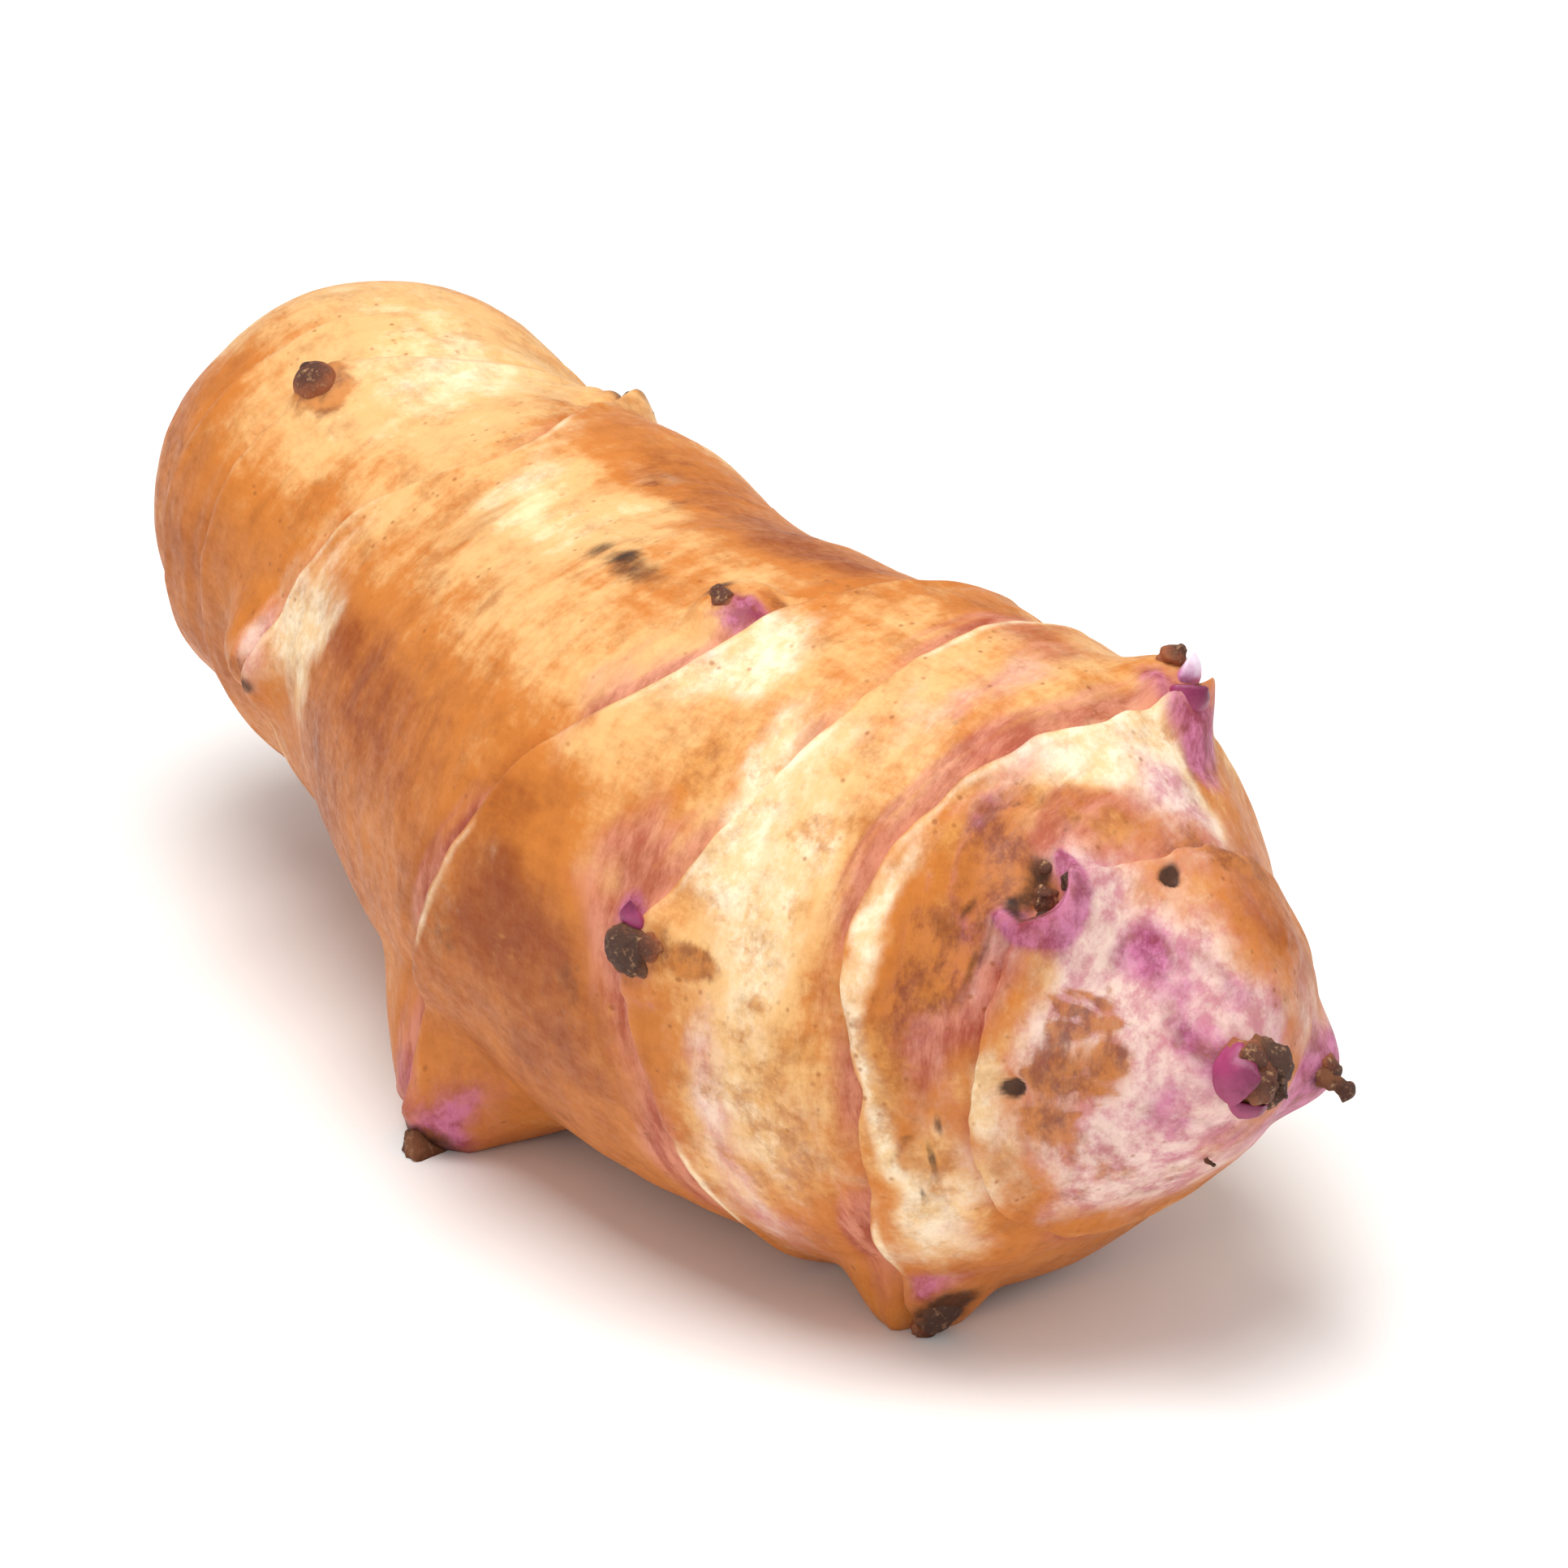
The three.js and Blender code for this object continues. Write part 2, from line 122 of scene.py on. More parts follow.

# Stains on the skin, by kind: (distance along, angle round, half length, half width in mm, strength).
# tone runs from pale (negative) to burnt (positive) and is partly painted light and shade; the others are
# stains laid over it.
stains = {
    # burnt tone low on the left side, about 150 to 200 degrees round, and on the right near 60 to 75 degrees
    # is partly painted shade and painted shadow of tubers that lay against it; pale tone on top is partly
    # painted light
    "toneAndShading": [(20, 95, 11, 13, -0.42), (31, 88, 7, 11, -0.45), (13, 150, 6, 7, 0.5), (20, 172, 10, 7, 0.7),
             (17, 136, 3, 5, 0.45), (26, 150, 6, 6, 0.2), (35, 130, 4, 5, 0.25), (50, 153, 9, 4, 0.6),
             (47, 172, 10, 8, 0.6), (60, 142, 9, 5, 0.2), (62, 165, 9, 8, 0.5), (49, 106, 3, 5, -0.5),
             (55, 108, 7, 4, -0.5), (60, 90, 9, 4, -0.3), (67, 122, 7, 6, -0.15), (57, 70, 14, 5, 0.9),
             (74, 74, 9, 5, 0.8), (68, 192, 7, 10, 0.35), (74, 172, 4.5, 8, 0.55), (77, 192, 5, 9, 0.5),
             (73, 158, 3, 5, 0.4), (78, 122, 4, 5, -0.4), (77, 140, 3, 5, -0.15), (86, 98, 5, 6, 0),
             (91, 150, 5, 10, -0.5), (90, 185, 6, 10, -0.25), (92, 222, 5, 6, 0.25), (88, 207, 4, 8, -0.5),
             (94, 90, 5, 10, 0.1), (88, 70, 5, 4, 0.6), (103, 140, 3, 12, 0.35), (102.6, 162, 2.6, 9, 0.6),
             (103, 205, 3, 8, -0.4), (109, 60, 5, 9, 0.6), (113, 60, 4, 6, 0.8), (109, 235, 4, 8, 0.15),
             (110, 210, 4, 6, 0.1), (30, 300, 16, 12, 0), (60, 20, 12, 12, 0.1), (50, 290, 12, 9, -0.5),
             (92, 310, 6, 12, -0.5), (75, 280, 8, 10, -0.1), (88, 20, 6, 10, 0.1), (20, 20, 9, 9, -0.2)],
    "blush": [(115.6, 165, 5, 6, 1.2), (113, 122, 3, 5, 0.9), (110.5, 140, 3, 4, 0.9),
              (114, 190, 3, 6, 0.8), (112, 215, 3, 5, 0.5), (108.6, 165, 2, 3, 0.5),
              (109.5, 215, 3.5, 8, 0.75), (104, 140, 2.4, 9, 0.4), (104.5, 185, 2, 6, 0.3),
              (109, 118, 2, 4, 0.9), (110.5, 150, 2, 3, 0.6), (106.5, 78, 2, 3, 0.6),
              (108, 128, 2, 3, 0.6), (88, 190, 3, 4, 0.7), (87, 175, 2, 3, 0.4), (95, 95, 3, 8, 0.5),
              (91, 118, 2, 4, 0.3), (105.5, 75, 3, 3, 0.5), (79, 113, 2, 3, 0.4), (90, 225, 4, 5, 0.5),
              (88, 206, 3, 6, 0.5), (103, 105, 2.6, 8, 0.4), (103, 215, 3, 7, 0.4),
              (109, 76, 3.4, 6, 0.55), (110, 236, 4, 7, 0.55), (93, 300, 5, 12, 0.6),
              (112, 300, 4, 8, 0.8), (113, 10, 4, 6, 0.6), (35, 176, 2, 3, 0.7)],
    "cream": [(82, 111, 2.6, 3.4, 1.3), (86.5, 134, 1.6, 6, 1.0), (88.5, 118, 2, 3, 0.4),
              (48, 105, 1.8, 4, 0.7), (104, 86, 2.2, 5, 1.2), (105.5, 76, 2.6, 3.4, 1.2),
              (107, 68, 2, 2.4, 0.8), (102, 212, 2.2, 6, 0.75), (104.3, 200, 1.8, 4, 0.7),
              (100.4, 190, 1, 6, 0.8), (98.8, 148, 0.8, 6, 0.8), (99.6, 168, 0.9, 5, 0.7),
              (92, 195, 5, 7, 0.6), (90, 160, 4, 6, 0.75), (107, 180, 1.3, 4.4, 1.1),
              (39.6, 163, 4.6, 6, 0.8), (43, 153, 3, 3, 0.4), (30, 100, 4, 6, 0.4), (52, 76, 3, 3, 0.5),
              (95, 250, 3, 5, 0.4), (72, 330, 4, 5, 0.6), (103, 320, 2.5, 7, 0.9), (109, 150, 1.6, 3, 0.8),
              (113, 150, 1.8, 3, 0.6), (30, 78, 4, 5, 0.4), (92, 140, 3, 6, 0.5)],
    "blotch": [(92, 165, 5, 12, 0.35), (90, 200, 4, 6, 0.3), (102, 140, 3, 10, 0.4),
               (103, 195, 2.4, 4, 0.5), (85, 130, 3, 6, 0.1), (93, 130, 3, 6, 0.3),
               (94.5, 195, 1.6, 4, 0.6), (82.6, 132, 1.4, 2, 0.7), (107.8, 99, 1.2, 1.8, 1),
               (101, 176, 1.4, 4, 0.7), (46, 135, 3, 5, 0.1)],
    "rose": [(80.4, 150, 1.8, 5, 1), (80.5, 165, 1.6, 4, 0.9), (81.5, 205, 1.8, 10, 0.8),
             (95.5, 85, 3.2, 9, 0.6), (97, 165, 1.2, 12, 0.6), (91, 72, 6, 5, 0.5), (92, 226, 5, 5, 0.5),
             (99.5, 238, 2.5, 3, 0.6), (74, 128, 1.2, 8, 0.7), (77, 175, 2, 4, 0.25),
             (104, 135, 2.2, 8, 1.2), (102.6, 156, 2, 8, 0.8), (106.8, 106, 1.6, 7, 1.2),
             (104.6, 160, 1.6, 5, 0.6), (96, 310, 3, 9, 0.8), (66, 20, 3, 7, 0.6), (27.3, 80, 1.2, 7, 0.5),
             (112, 230, 5, 9, 1.0), (62, 226, 5, 5, 0.6), (111, 203, 4, 6, 0.7), (42.6, 85, 1.2, 6, 0.4),
             (112, 70, 4, 6, 0.5), (103.5, 165, 1.4, 4, 0.5)],
    "violet": [(77.6, 104, 2.2, 1.2, 1.0), (108, 133, 1.6, 3.2, 0.8), (112.6, 124, 2.4, 2.6, 1.2),
               (114.6, 108, 1.6, 2.2, 0.8), (115, 168, 1.6, 2.6, 1), (104.6, 162, 1, 2.4, 0.8),
               (102.6, 148, 1.2, 2, 0.6), (97.4, 236, 2.6, 3, 1.2), (103, 60, 2.2, 3, 1.3),
               (112, 325, 4, 5, 1.4), (61, 225, 3.4, 3.6, 1.2), (75.5, 340, 2.4, 3.4, 1.1),
               (91, 350, 2.4, 3, 1.1), (114, 250, 3, 6, 0.6), (102.5, 120, 0.9, 2.6, 0.5),
               (113.4, 205, 1.6, 3, 0.7), (116, 60, 2, 4, 0.6), (107.6, 72, 1.4, 3, 0.6),
               (110.6, 150, 1.2, 2, 0.5), (101.4, 68, 1.2, 1.6, 0.8)],
    "scurf": [(102.6, 136, 2.4, 8, 0.85), (102, 163, 2, 6, 0.8), (104.6, 118, 1.8, 5, 0.7),
              (106.4, 98, 1.6, 4, 0.7), (110, 168, 2.2, 3.4, 0.85), (109.4, 192, 2, 4, 0.8),
              (56, 79, 8, 3, 0.6), (48, 70, 5, 2.4, 0.5), (110, 70, 2.6, 7, 0.8), (109, 226, 2.4, 4, 0.6),
              (76, 60, 7, 4, 0.6), (30, 280, 8, 9, 0.4), (84, 20, 6, 8, 0.5), (104, 290, 3, 8, 0.7),
              (90, 176, 2.5, 3, 0.3), (112, 160, 1, 3, 0.5), (15, 240, 7, 9, 0.4),
              (112.6, 92, 1.4, 2.4, 0.6), (46.5, 110, 3, 4, 0.3), (111, 250, 2, 4, 0.5),
              (102, 195, 2, 4, 0.6), (54, 152, 8, 3, 0.5), (66, 178, 6, 5, 0.5), (20, 165, 6, 5, 0.5)],
}

# Marks with a plain outline, such as eyes and pits, given by the same five numbers.
marks = {
    "violet": [(81.8, 160, 1, 1.2, 1.1), (82.6, 167, 3.2, 3, 0.4), (106.9, 131, 2.4, 2.6, 0.9),
               (78, 106, 1.3, 0.9, 0.6), (112.2, 327, 2.6, 2.6, 0.8)],
    "scurf": [(86.8, 165.5, 1.6, 1.3, 1.4), (78.4, 97, 1.6, 0.9, 1), (34, 178, 2, 2, 0.8),
              (25, 116, 2.2, 2.4, 1.2), (27, 116, 1.4, 1.8, 0.6), (33, 52, 2.6, 2.8, 0.8),
              (105.4, 130, 2, 2, 1), (97.2, 243, 3.4, 3.2, 0.8), (60.5, 229, 3.4, 3.4, 0.8),
              (91, 350, 2, 2, 0.8), (115.6, 180, 1.8, 1.8, 0.8), (83, 166, 2.8, 2.6, 0.7)],
    # soot is dark marks such as soil smudges and cracks, plus painted shade: black in the pits' hollows and,
    # from each leaf scar, a line along its crease
    "sootAndShade": [(103.4, 150, 0.25, 2.2, 0.6), (104.8, 143, 0.22, 1.8, 0.6), (105.8, 112, 0.22, 3, 0.55),
             (107.2, 104, 0.2, 3, 0.55), (103, 128, 0.22, 2, 0.45), (66.6, 104.5, 4.2, 1.6, 0.75),
             (61.4, 104, 1.2, 2, 0.55), (64.4, 102, 1, 1, 0.5), (78, 178, 1.2, 2.2, 0.5),
             # the two pits at 107.5 and 110.4 mm are painted black: partly their own dark scar and partly
             # painted shade in the hollow
             (107.5, 180, 0.7, 0.7, 2), (110.4, 100, 0.6, 0.75, 2), (102.8, 196, 0.3, 1.5, 0.9),
             (103.5, 188, 0.3, 1, 0.9), (101.8, 204, 0.25, 1.2, 0.8), (101.9, 190, 0.8, 0.25, 0.8),
             (104.4, 152, 0.5, 2.4, 0.6), (103.4, 140, 0.3, 1.6, 0.6), (33, 52, 1.4, 1.5, 0.9),
             (97.6, 243, 2, 2.1, 1.3), (60.4, 229, 2.2, 2.2, 1.3), (102, 63, 0.8, 1, 1),
             (69.3, 180, 1.2, 3, 0.5), (105.3, 127, 0.8, 1.3, 1), (105.2, 134, 0.7, 0.9, 0.8),
             (75.2, 101.5, 1.1, 1.2, 0.9), (112.4, 327, 1.1, 1.1, 1), (83, 166, 1.9, 1.9, 0.4),
             (25, 116, 1.2, 1.3, 0.5), (111.8, 196, 0.25, 1.6, 0.5), (110.4, 203, 0.25, 1.4, 0.5),
             (98.7, 176, 0.35, 0.6, 0.8), (96.5, 108, 0.35, 0.6, 0.6), (103.2, 117, 0.4, 0.5, 0.7),
             (35, 180, 0.8, 0.9, 0.8)],
}

# Coloured arcs round the buds and curls of scurf: a rim's numbers, with strength in place of its height.
arcs = {
    "violet": [(105.9, 131, 2.6, 0.75, 1.5, -75, 125), (105.9, 131, 4.9, 0.7, 0.6, 110, 250),
               (83, 166, 3.4, 0.45, 0.4, -60, 100), (105.9, 131, 6.6, 0.5, 0.4, 140, 230),
               (83, 166, 4.6, 0.35, 0.35, 20, 110)],
    "scurf": [(110, 168, 1.3, 0.3, 0.9, 0, 360), (110, 168, 2.4, 0.3, 0.9, -120, 150),
              (110, 168, 3.4, 0.3, 0.7, -150, 60), (110, 168, 4.4, 0.25, 0.5, -60, 120)],
    "sootAndShade": [(105.9, 131, 2.1, 0.3, 0.7, -60, 150), (25, 116, 1.7, 0.35, 0.4, -100, 160)],
}


def smoothThrough(pairs, x):
    # cubic pieces through the pairs; the slope at a pair is that between its two neighbours
    px, py = np.array(pairs, float).T
    slope = np.empty_like(py)
    slope[1:-1] = (py[2:] - py[:-2]) / (px[2:] - px[:-2])
    slope[0] = (py[1] - py[0]) / (px[1] - px[0])
    slope[-1] = (py[-1] - py[-2]) / (px[-1] - px[-2])
    i = np.clip(np.searchsorted(px, x) - 1, 0, len(px) - 2)
    step = px[i + 1] - px[i]
    w = np.clip((x - px[i]) / step, 0, 1)
    ease = w * w * (3 - 2 * w)
    level = py[i] * (1 - ease) + py[i + 1] * ease
    return level + step * w * (1 - w) * (slope[i] * (1 - w) - slope[i + 1] * w)


def smoothRound(path, degrees):
    # the same curve on an angle, with two pairs repeated past each end so that a full turn joins up
    before = [(turn - 360, value) for turn, value in path[-2:]]
    after = [(turn + 360, value) for turn, value in path[:2]]
    return smoothThrough(before + list(path) + after, np.mod(degrees, 360))


def lumps(points, size, seed):
    # value noise from -1 to 1: a random number at each corner of a cubic lattice, eased in between
    cell = np.asarray(points) / size + 500
    low = np.floor(cell).astype(int)
    ease = cell - low
    ease = ease * ease * (3 - 2 * ease)
    lattice = np.random.default_rng(seed).uniform(-1, 1, (64, 64, 64))
    total = 0
    for corner in itertools.product((0, 1), repeat=3):
        share = np.prod(np.where(corner, ease, 1 - ease), axis=-1)
        at = (low + corner) % 64
        total = total + share * lattice[at[..., 0], at[..., 1], at[..., 2]]
    return total


def unit(vectors):
    return vectors / np.maximum(np.linalg.norm(vectors, axis=-1, keepdims=True), 1e-9)


# The middle line as closely spaced points: a uniform Catmull-Rom spline, with its running length.
controls = np.array(tuber["middleLine"], float)
padded = np.vstack([2 * controls[0] - controls[1], controls, 2 * controls[-1] - controls[-2]])
knot = np.linspace(0, len(controls) - 1, 2001)
first = np.minimum(knot.astype(int), len(controls) - 2)
w = (knot - first)[:, None]
leave = (padded[first + 2] - padded[first]) / 2
arrive = (padded[first + 3] - padded[first + 1]) / 2
spine = (padded[first + 1] * (1 - 3 * w**2 + 2 * w**3) + padded[first + 2] * (3 * w**2 - 2 * w**3)
         + leave * (w - 2 * w**2 + w**3) + arrive * (w**3 - w**2))
running = np.concatenate([[0], np.cumsum(np.linalg.norm(np.diff(spine, axis=0), axis=1))])
length = running[-1]


def spineAt(along):
    return np.stack([np.interp(along, running, spine[:, axis]) for axis in range(3)], -1)


def across(along):
    # forward along the middle line, side towards +Y, and over upwards
    forward = unit(spineAt(np.minimum(along + 0.5, length)) - spineAt(np.maximum(along - 0.5, 0)))
    side = unit(np.cross([0.0, 0.0, 1.0], forward))
    return forward, side, np.cross(forward, side)


def fleshRadius(along):
    # the girth, rounded to nothing at both ends as a quarter ellipse
    tail = np.clip(1 - along / tuber["tailRounding"], 0, 1)
    tip = np.clip(1 - (length - along) / tuber["tipRounding"], 0, 1)
    return smoothThrough(tuber["girth"], along) * np.sqrt(1 - tail**2) * np.sqrt(1 - tip**2)


def fleshPoint(along, degrees, extra=0.0):
    # a circle round the middle line, swollen by extra
    forward, side, over = across(along)
    turn = np.radians(degrees)
    out = np.cos(turn)[..., None] * side + np.sin(turn)[..., None] * over
    return spineAt(along) + out * (fleshRadius(along) + extra)[..., None]


def straightened(along, degrees):
    # the skin's own coordinates in mm, as if the tuber were straight, so that patterns follow it
    turn = np.radians(degrees)
    radius = fleshRadius(along)
    return np.stack([along, radius * np.cos(turn), radius * np.sin(turn)], -1)


def fromSpot(place, spotAlong, spotTurn):
    # how far straightened places lie from a spot: towards the tip, round the tuber, and through its skin
    near = min(max(spotAlong, 0.2), length - 0.2) + np.array([-0.1, 0, 0.1])
    before, spot, after = straightened(near, np.full(3, float(spotTurn)))
    turn = math.radians(spotTurn)
    lengthwise = unit(after - before)
    sideways = np.array([0, -math.sin(turn), math.cos(turn)])
    gap = place - spot
    return gap @ lengthwise, gap @ sideways, gap @ np.cross(sideways, lengthwise)


def ringLine(index, degrees):
    # the leaf scar's path with a wavering, slightly torn edge
    around = 20 * np.stack([np.full_like(degrees, float(index)), np.cos(np.radians(degrees)),
                            np.sin(np.radians(degrees))], -1)
    waver = 0.3 * lumps(around, 4, 11) + 0.1 * lumps(around, 1.1, 12)
    return smoothRound(leafScars[index]["path"], degrees) + waver


def pastRing(index, along, degrees):
    # how far a place lies past the leaf scar, in mm along the tuber
    return along - ringLine(index, degrees)


def arcWindow(lengthwise, sideways, start, end):
    # 1 inside the arc from start to end degrees, easing to 0 over its last 25 degrees
    middle, half = (start + end) / 2, (end - start) / 2
    turn = np.degrees(np.arctan2(sideways, lengthwise))
    away = np.abs(np.mod(turn - middle + 180, 360) - 180)
    return np.ones_like(away) if half >= 180 else np.clip((half - away) / 25 + 0.5, 0, 1)


def rimShare(place, rim):
    # a rounded rim at the rim's radius from its spot, or a round pit where the radius is 0
    spotAlong, spotTurn, radius, thick, high, start, end = rim
    lengthwise, sideways, depth = fromSpot(place, spotAlong, spotTurn)
    away = np.sqrt(lengthwise**2 + sideways**2 + depth**2)
    return np.exp(-((away - radius) / thick) ** 2) * arcWindow(lengthwise, sideways, start, end)


def skinPoint(along, degrees):
    # flesh, plus rings, rims and fine relief along the radius, plus each knob as a rounded push of its own
    place = straightened(along, degrees)
    relief = sum(high * lumps(place, size, seed) for high, size, seed in tuber["lumps"])
    nearest = np.full(np.shape(along), 99.0)
    for index, scar in enumerate(leafScars):
        past = pastRing(index, along, degrees)
        vary = 1 + 0.4 * lumps(place + 40 * index, 9, 31)
        shape = {name: np.exp(-((past - at) / wide) ** 2) for name, (at, wide) in scarRelief.items()}
        groove = -scar["groove"] * shape["groove"]
        lip = scar["lip"] * shape["lip"] + tuber["lipEdge"] * shape["edge"]
        fainter = -0.3 * scar["groove"] * shape["fainter"]
        relief = relief + vary * (np.where(past < 0, groove, lip) + fainter)
        nearest = np.minimum(nearest, np.abs(past))
    wrinkle = lumps(place * [1, 0.15, 0.15], 0.6, 41)   # long round the tuber, narrow along it
    crease = -np.abs(lumps(place * [1, 0.25, 0.25], 2.2, 42))
    relief = relief + wrinkle * (0.02 + 0.07 * np.exp(-(nearest / 3) ** 2)) + 0.12 * crease
    for rim in rims:
        relief = relief + rim[4] * rimShare(place, rim)
    relief = relief * np.clip(np.minimum(along, length - along + 2) / 6, 0, 1)
    flesh = fleshPoint(along, degrees)
    point = fleshPoint(along, degrees, relief)
    for knobAlong, turn, high, wide, power, slide in knobs:
        foot = fleshPoint(np.array(float(min(knobAlong, length))), np.array(float(turn)))
        inside = np.clip(knobAlong, tuber["tailRounding"], length - tuber["tipRounding"])
        push = unit(foot - spineAt(inside)) * high + across(np.array(float(knobAlong)))[0] * slide
        share = np.minimum(np.linalg.norm(flesh - foot, axis=-1) / wide, 1)
        point = point + ((1 - share**2) ** power)[..., None] * push
    point[..., 2] = np.maximum(point[..., 2], 0)   # pressed flat where it rests
    return point


def skinRows(columns):
    # distances along for every row and column: rows follow the leaf scars and crowd together beside them
    degrees = np.linspace(0, 360, columns, endpoint=False)
    scarLines = [ringLine(k, degrees) for k in range(len(leafScars))]
    lines = [np.zeros(columns)] + scarLines + [np.full(columns, length)]
    near = np.array(tuber["nearRing"])
    rows = []
    for k in range(len(lines) - 1):
        start, end = lines[k], lines[k + 1]
        isTail, isTip = k == 0, k == len(lines) - 2
        gapStart, gapEnd = (0 if isTail else near[-1]), (0 if isTip else near[-1])
        if not isTail:
            rows += [start + gap for gap in near]
        count = int(np.mean(end - start) / tuber["rowGap"])
        even = np.arange(1, count) / count
        share = 1 - np.cos(even * np.pi / 2) if isTail else np.sin(even * np.pi / 2) if isTip else even
        rows += [(start + gapStart) * (1 - s) + (end - gapEnd) * s for s in share]
        if not isTip:
            rows += [end - gap for gap in near[::-1]]
    return np.array(rows), np.broadcast_to(degrees, (len(rows), columns))


def closedMesh(name, surfaces, attributes=None):
    # each surface is a grid closed round its columns and a pole point at either end; all go into one mesh
    corners, starts, sizes, places = [], [], [], []
    vertexCount = loopCount = 0
    for grid, tailPole, tipPole in surfaces:
        rows, columns = grid.shape[:2]
        at = np.arange(rows * columns).reshape(rows, columns) + vertexCount
        after = np.roll(at, -1, axis=1)
        quads = np.stack([at[:-1], after[:-1], after[1:], at[1:]], -1).reshape(-1, 4)
        tail = np.full(columns, vertexCount + rows * columns)
        tailFan = np.stack([tail, after[0], at[0]], -1)
        tipFan = np.stack([tail + 1, at[-1], after[-1]], -1)
        fans = np.concatenate([tailFan, tipFan])
        corners += [quads.ravel(), fans.ravel()]
        starts += [loopCount + 4 * np.arange(len(quads)), loopCount + quads.size + 3 * np.arange(len(fans))]
        sizes += [np.full(len(quads), 4), np.full(len(fans), 3)]
        places.append(np.vstack([grid.reshape(-1, 3), tailPole, tipPole]))
        vertexCount += rows * columns + 2
        loopCount += quads.size + fans.size
    corners, starts, sizes = np.concatenate(corners), np.concatenate(starts), np.concatenate(sizes)
    mesh = bpy.data.meshes.new(name)
    mesh.vertices.add(vertexCount)
    mesh.loops.add(loopCount)
    mesh.polygons.add(len(starts))
    mesh.vertices.foreach_set("co", (np.vstack(places) * metre).astype(np.float32).ravel())
    mesh.loops.foreach_set("vertex_index", corners.astype(np.int32))
    mesh.polygons.foreach_set("loop_start", starts.astype(np.int32))
    mesh.polygons.foreach_set("loop_total", sizes.astype(np.int32))
    mesh.polygons.foreach_set("use_smooth", np.ones(len(starts), bool))
    for key, values in (attributes or {}).items():
        kind, field = ("FLOAT_VECTOR", "vector") if values.ndim == 2 else ("FLOAT", "value")
        mesh.attributes.new(key, kind, "POINT").data.foreach_set(field, values.astype(np.float32).ravel())
    mesh.update(calc_edges=True)
    mesh.validate()
    piece = bpy.data.objects.new(name, mesh)
    bpy.context.scene.collection.objects.link(piece)
    return piece


def stainMasks(along, degrees):
    # stains are soft ovals on a wandering copy of the skin, marks ovals on the skin itself, and arcs parts
    # of rings; each leaf scar adds its bands, and all are added up by kind
    place = straightened(along, degrees)
    wander = [lumps(place, 7, seed) + 0.5 * lumps(place, 2.6, seed + 3) for seed in (51, 52, 53)]
    wander = np.stack(wander, -1)
    masks = {}
    for spots, at in ((stains, place + 2.0 * wander), (marks, place + 0.25 * wander)):
        for kind, ovals in spots.items():
            total = masks.get(kind, np.zeros(np.shape(along)))
            for spotAlong, spotTurn, long, wide, strength in ovals:
                lengthwise, sideways, depth = fromSpot(at, spotAlong, spotTurn)
                oval = (lengthwise / long) ** 2 + (sideways / wide) ** 2 + (2 * depth / (long + wide)) ** 2
                total = total + strength * np.exp(-oval)
            masks[kind] = total
    for kind, bends in arcs.items():
        masks[kind] = masks[kind] + sum(bend[4] * rimShare(place + 0.6 * wander, bend) for bend in bends)
    for index, scar in enumerate(leafScars):
        past = pastRing(index, along, degrees)
        vary = np.clip(0.75 + 1.2 * lumps(place + 30 * index, 6, 61), 0, 1.4)
        band = {name: np.exp(-((past - at) / wide) ** 2) for name, (at, wide) in scarBands.items()}
        before, after = band["before"] * (past < 0), band["after"] * (past > 0)
        edge = band["edge"] * (past > 0)
        # painted shade: rose in the groove before the scar, partly the skin's own pink, and rose along the
        # crease
        rose = vary * (before + 0.5 * band["fainter"]) + 0.5 * band["crease"]
        masks["rose"] = masks["rose"] + scar["rose"] * rose
        # painted highlight: the thin cream edge band along the lip; the cream after the scar is the skin's
        # own
        masks["cream"] = masks["cream"] + scar["cream"] * vary * (0.4 * vary * edge + 0.4 * after)
        # painted shade: a dark line along the scar's crease
        masks["sootAndShade"] = masks["sootAndShade"] + 0.4 * scar["rose"] * vary * band["crease"]
    # painted shade: the skin is made deeper down its sides and underneath, where less light falls
    masks["toneAndShading"] = masks["toneAndShading"] + 0.28 * (1 - np.sin(np.radians(degrees)))   # deeper low on its sides
    masks["blotch"] = masks["blotch"] + 0.3
    return masks


along, degrees = skinRows(tuber["columns"])
poleAlong, poleDegrees = np.array([0.0, length]), np.array([0.0, 0.0])
grid = skinPoint(along, degrees)
poles = skinPoint(poleAlong, poleDegrees)
allAlong = np.concatenate([along.ravel(), poleAlong])
allDegrees = np.concatenate([degrees.ravel(), poleDegrees])
attributes = {kind: np.clip(values, -2, 2) for kind, values in stainMasks(allAlong, allDegrees).items()}
attributes["straight"] = straightened(allAlong, allDegrees)
# The solid's origin is the middle of its footprint, so the shapes here are slid to the solid's own box.
slide = (np.array(cadLow) + np.array(cadHigh)) / 2 / metre - (grid.min((0, 1)) + grid.max((0, 1))) / 2
slide[2] = 0
skin = closedMesh("tuber_skin", [(grid + slide, poles[0] + slide, poles[1] + slide)], attributes)
print("skin:", len(skin.data.vertices), "points, slid by", slide.round(3), "mm")

